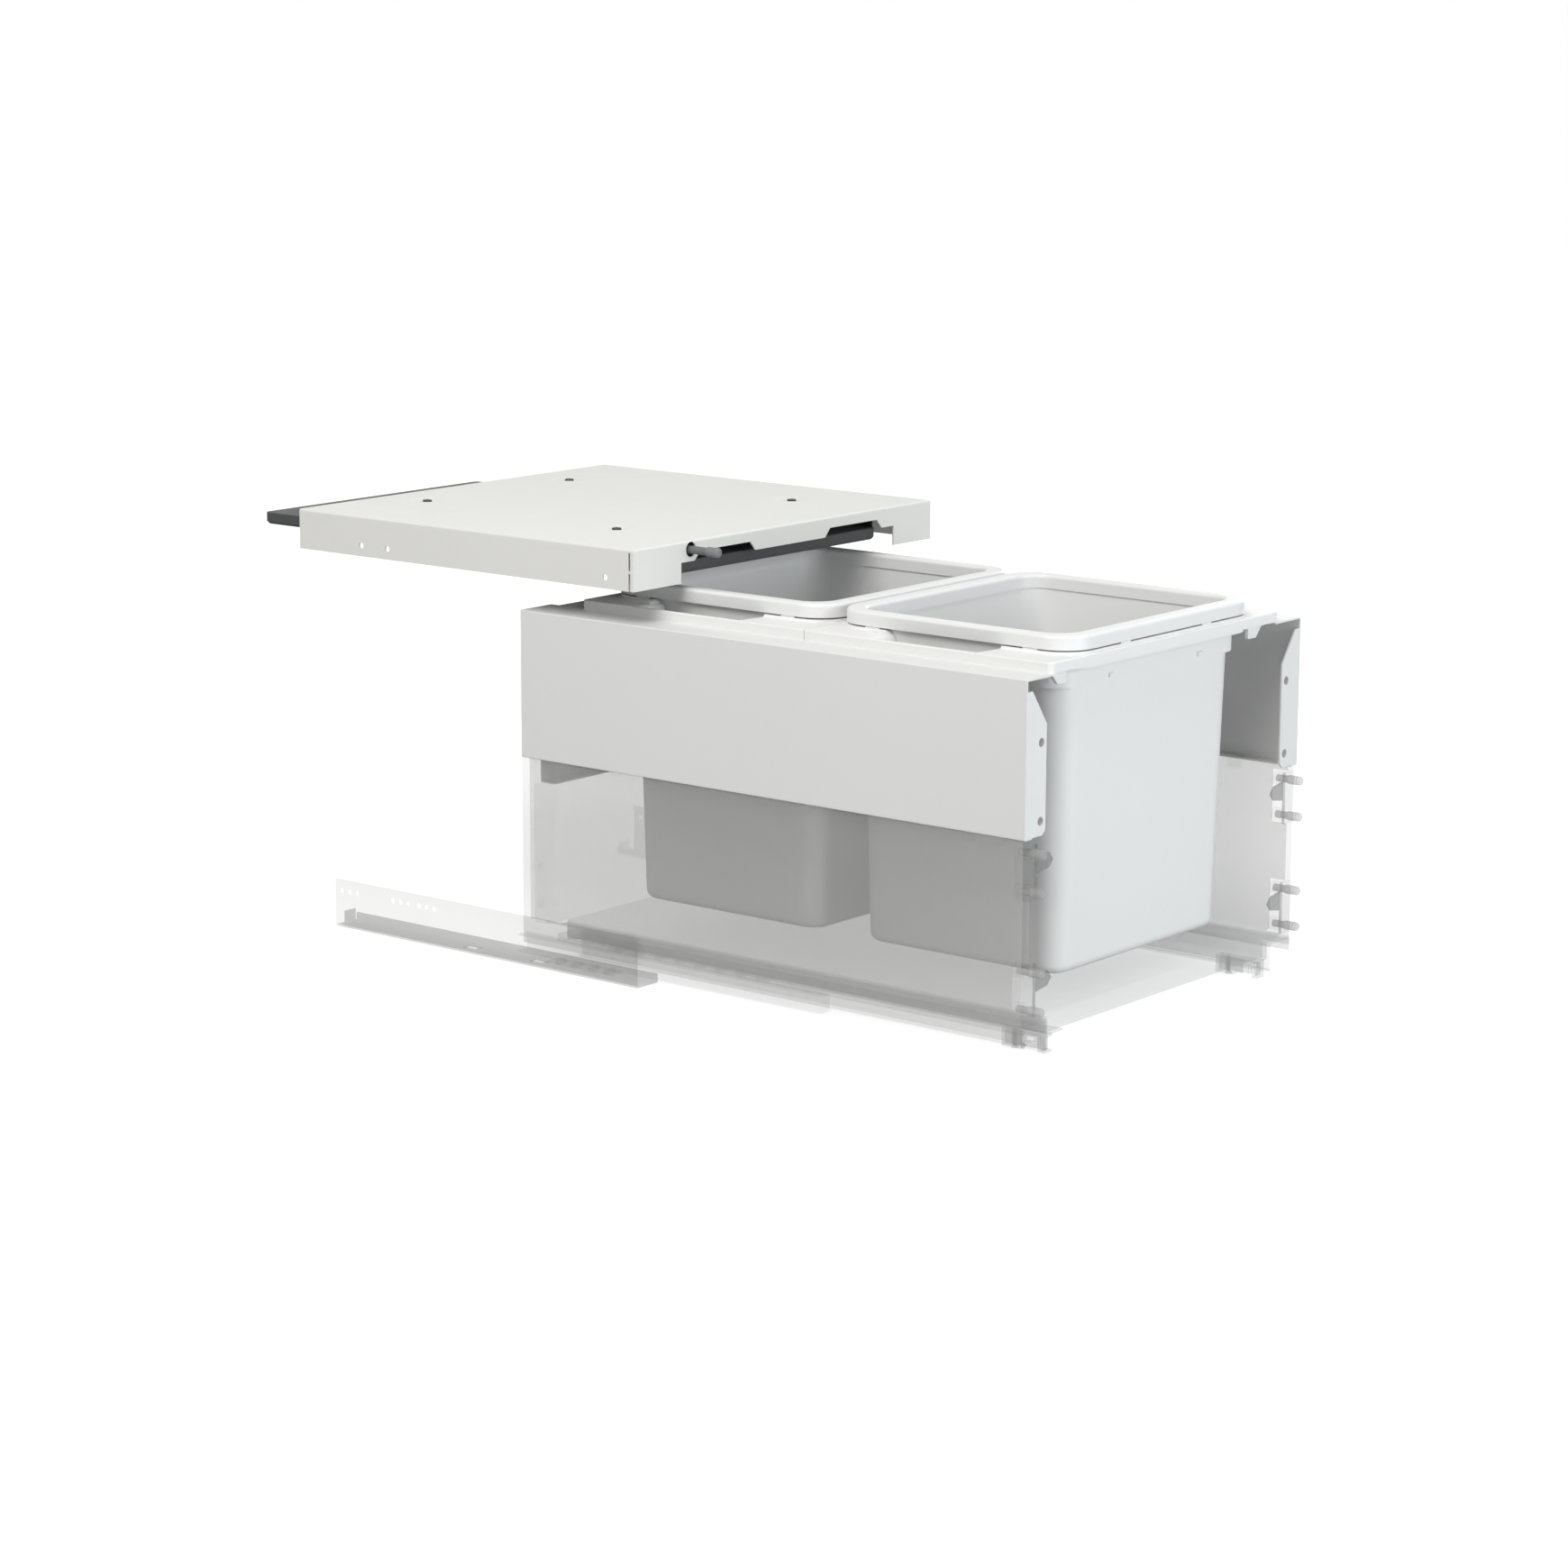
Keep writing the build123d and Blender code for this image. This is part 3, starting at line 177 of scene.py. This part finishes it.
def finish_side_panels():
    panel = Shader("light_powder_coat", (0.79, 0.795, 0.785), 0.45)
    panel.mottle(7.0, 0.006).uneven(30.0, 0.04).grain(1400.0, 0.00002, 0.25)
    paint(panel, "side_panel_left", "side_panel_right", "rear_panel")


def finish_bins():
    white = Shader("bin_plastic", (0.83, 0.832, 0.83), 0.38, Coat_Weight=0.05, Coat_Roughness=0.3)
    white.mottle(5.0, 0.004).uneven(12.0, 0.02)
    paint(white, "front_bin", "rear_bin")


def finish_frame():
    white = Shader("frame_plastic", (0.845, 0.845, 0.835), 0.45)
    white.mottle(8.0, 0.006).uneven(30.0, 0.04).grain(1800.0, 0.00002, 0.25)
    paint(white, "frame_front", "frame_rear")


def finish_lid():
    lid = Shader("lid_plastic", (0.080, 0.083, 0.083), 0.55, Specular_IOR_Level=0.25)
    lid.mottle(12.0, 0.05).uneven(40.0, 0.05).grain(1600.0, 0.00003, 0.4)
    paint(lid, "lid_panel")


def finish_pusher_works():
    black = Shader("black_plastic", (0.012, 0.012, 0.012), 0.5, Specular_IOR_Level=0.3)
    black.mottle(30.0, 0.10).uneven(60.0, 0.06).grain(1600.0, 0.00003, 0.4)
    paint(black, "pusher_guide", "transfer_lever")
    grey = Shader("grey_plastic", (0.14, 0.142, 0.142), 0.42)
    grey.mottle(30.0, 0.05).uneven(60.0, 0.06).grain(1600.0, 0.00003, 0.4)
    paint(grey, "pusher_rod")
    cap = Shader("soft_cap", (0.20, 0.205, 0.21), 0.6)
    cap.mottle(40.0, 0.05).uneven(60.0, 0.06)
    paint(cap, "pusher_tip")


def finish_spring():
    wire = Shader("spring_wire", (0.55, 0.55, 0.56), 0.25, 1.0)
    wire.mottle(400.0, 0.06).uneven(400.0, 0.06)
    paint(wire, "return_spring")


def finish_guide_rails():
    # Base colour far darker than bare zinc: part zinc, part painted shade standing for the shade
    # under the cover where these parts sit.
    zinc_with_painted_shade = Shader("zinc_sheet_with_painted_shade", (0.12, 0.12, 0.12), 0.45, 1.0)
    zinc_with_painted_shade.mottle(60.0, 0.06).uneven(90.0, 0.08).grain(900.0, 0.00002, 0.3)
    paint(zinc_with_painted_shade, "guide_rail_left", "guide_rail_right", "cover_nuts")
    paint(zinc_with_painted_shade, "lid_pins", "lid_drive_pin", "lever_pivot")


def finish_screws():
    dark = Shader("dark_screws", (0.07, 0.07, 0.072), 0.35, 1.0)
    dark.mottle(300.0, 0.08).uneven(300.0, 0.08)
    paint(dark, "cover_screws", "frame_screws")


def ghost(name, shade, alpha, *names, roughness=0.5, gloss=0.2):
    """A pale see-through finish, as the photograph draws the drawer and the runners."""
    color = (shade, shade, shade * 0.99)
    pale = Shader(name, color, roughness, Alpha=alpha, Specular_IOR_Level=gloss)
    pale.mottle(9.0, 0.01).uneven(30.0, 0.04)
    paint(pale, *names)
    return pale


def finish_drawer_sides():
    ghost("ghost_side", 0.60, 0.205, "drawer_side_left", "drawer_side_right")


def finish_drawer_boards():
    ghost("ghost_floor", 0.61, 0.205, "drawer_floor")
    ghost("ghost_back", 0.52, 0.09, "back_panel")


def finish_brackets():
    ghost("ghost_back_bracket", 0.55, 0.02, "back_bracket_left", "back_bracket_right")
    tabs = ghost("ghost_front_bracket", 0.30, 0.46, "front_brackets")
    tabs.alpha_inboard(tab_edge_x, 0.05)


def finish_pegs():
    ghost("ghost_peg", 0.50, 0.38, "front_dowels", roughness=0.25, gloss=0.6)
    ghost("ghost_clip", 0.60, 0.05, "panel_clips", "back_screws")
    plug = Shader("plug_plastic", (0.42, 0.42, 0.42), 0.45)
    plug.mottle(60.0, 0.03).uneven(60.0, 0.05)
    paint(plug, "rear_clips")


def finish_couplings():
    ghost("ghost_coupling", 0.40, 0.17, "coupling_left", "coupling_right")
    ghost("ghost_catch", 0.40, 0.17, "catch_lever_left", "catch_lever_right")
    ghost("ghost_catch_pin", 0.30, 0.15, "catch_pins")


def finish_runners():
    profile = ghost("ghost_profile", 0.26, 0.27, "cabinet_profile_left")
    profile.alpha_inboard(profile_web_x, 0.17)
    far_profile = ghost("ghost_far_profile", 0.30, 0.06, "cabinet_profile_right")
    far_profile.alpha_inboard(profile_web_x, 0.12)
    ghost("ghost_middle_rail", 0.28, 0.095, "middle_rail_left", "middle_rail_right")
    ghost("ghost_drawer_rail", 0.28, 0.12, "drawer_rail_left", "drawer_rail_right")
    ghost("ghost_rollers", 0.45, 0.08, "lower_cages", "upper_cages", "lower_rollers", "upper_rollers")


# ---- surroundings ------------------------------------------------------------------
floor_gap = 0.001            # the floor lies this far under the object
floor_half = 9.0
floor_grey = 0.55
floor_glow = 0.82            # added where the camera sees the floor, which makes it white
sky_strength = 0.34          # what lights the object; the camera and reflections see 1
aim = (0.0, 0.05, 0.15)      # the middle of the object, where the lamps point


def make_floor():
    z = cad_box[0][2] - floor_gap
    near = [(-floor_half, -floor_half, z), (floor_half, -floor_half, z)]
    far = [(floor_half, floor_half, z), (-floor_half, floor_half, z)]
    mesh = bpy.data.meshes.new("floor")
    mesh.from_pydata(near + far, [], [(0, 1, 2, 3)])
    floor = bpy.data.objects.new("floor", mesh)
    bpy.context.scene.collection.objects.link(floor)
    mat = bpy.data.materials.new("floor")
    mat.use_nodes = True
    tree = mat.node_tree
    bsdf = tree.nodes["Principled BSDF"]
    bsdf.inputs["Base Color"].default_value = (floor_grey, floor_grey, floor_grey, 1)
    bsdf.inputs["Roughness"].default_value = 0.9
    bsdf.inputs["Specular IOR Level"].default_value = 0.0
    path = tree.nodes.new("ShaderNodeLightPath")
    glow = tree.nodes.new("ShaderNodeEmission")
    glow.inputs["Color"].default_value = (1, 1, 1, 1)
    level = tree.nodes.new("ShaderNodeMath")
    level.operation = "MULTIPLY"
    level.inputs[1].default_value = floor_glow
    tree.links.new(path.outputs["Is Camera Ray"], level.inputs[0])
    tree.links.new(level.outputs[0], glow.inputs["Strength"])
    both = tree.nodes.new("ShaderNodeAddShader")
    tree.links.new(bsdf.outputs[0], both.inputs[0])
    tree.links.new(glow.outputs[0], both.inputs[1])
    tree.links.new(both.outputs[0], tree.nodes["Material Output"].inputs["Surface"])
    mesh.materials.append(mat)


def make_world():
    world = bpy.data.worlds.new("studio")
    bpy.context.scene.world = world
    world.use_nodes = True
    tree = world.node_tree
    back = tree.nodes["Background"]
    path = tree.nodes.new("ShaderNodeLightPath")
    mix = tree.nodes.new("ShaderNodeMapRange")
    mix.inputs["To Min"].default_value = sky_strength
    mix.inputs["To Max"].default_value = 1.0
    seen = tree.nodes.new("ShaderNodeMath")
    seen.operation = "MAXIMUM"
    tree.links.new(path.outputs["Is Camera Ray"], seen.inputs[0])
    tree.links.new(path.outputs["Is Glossy Ray"], seen.inputs[1])
    tree.links.new(seen.outputs[0], mix.inputs["Value"])
    tree.links.new(mix.outputs["Result"], back.inputs["Strength"])
    back.inputs["Color"].default_value = (1, 1, 1, 1)


def area_light(name, place, size, watts, color=(1.0, 1.0, 1.0)):
    """A square lamp that points at the object."""
    data = bpy.data.lights.new(name, "AREA")
    data.shape = "SQUARE"
    data.size = size
    data.energy = watts
    data.color = color
    light = bpy.data.objects.new(name, data)
    light.location = place
    light.rotation_mode = "QUATERNION"
    light.rotation_quaternion = (Vector(aim) - Vector(place)).to_track_quat("-Z", "Y")
    bpy.context.scene.collection.objects.link(light)


def make_lamps():
    area_light("top_light", (0.3, -0.4, 3.0), 2.4, 4.0)
    area_light("front_light", (-0.1, -3.4, 0.75), 1.6, 51.0, (0.94, 0.99, 1.02))
    area_light("right_light", (3.0, 0.5, 0.9), 1.6, 22.0)
    area_light("left_light", (-1.9, -0.3, 2.5), 1.8, 57.0, (1.01, 1.0, 0.98))


make_camera()
finish_cover()
finish_side_panels()
finish_bins()
finish_frame()
finish_lid()
finish_pusher_works()
finish_spring()
finish_guide_rails()
finish_screws()
finish_drawer_sides()
finish_drawer_boards()
finish_brackets()
finish_pegs()
finish_couplings()
finish_runners()
make_floor()
make_world()
make_lamps()

bpy.context.scene.view_settings.view_transform = "Standard"
# the see-through sheets lie deeper than the usual eight faces
bpy.context.scene.cycles.transparent_max_bounces = 40
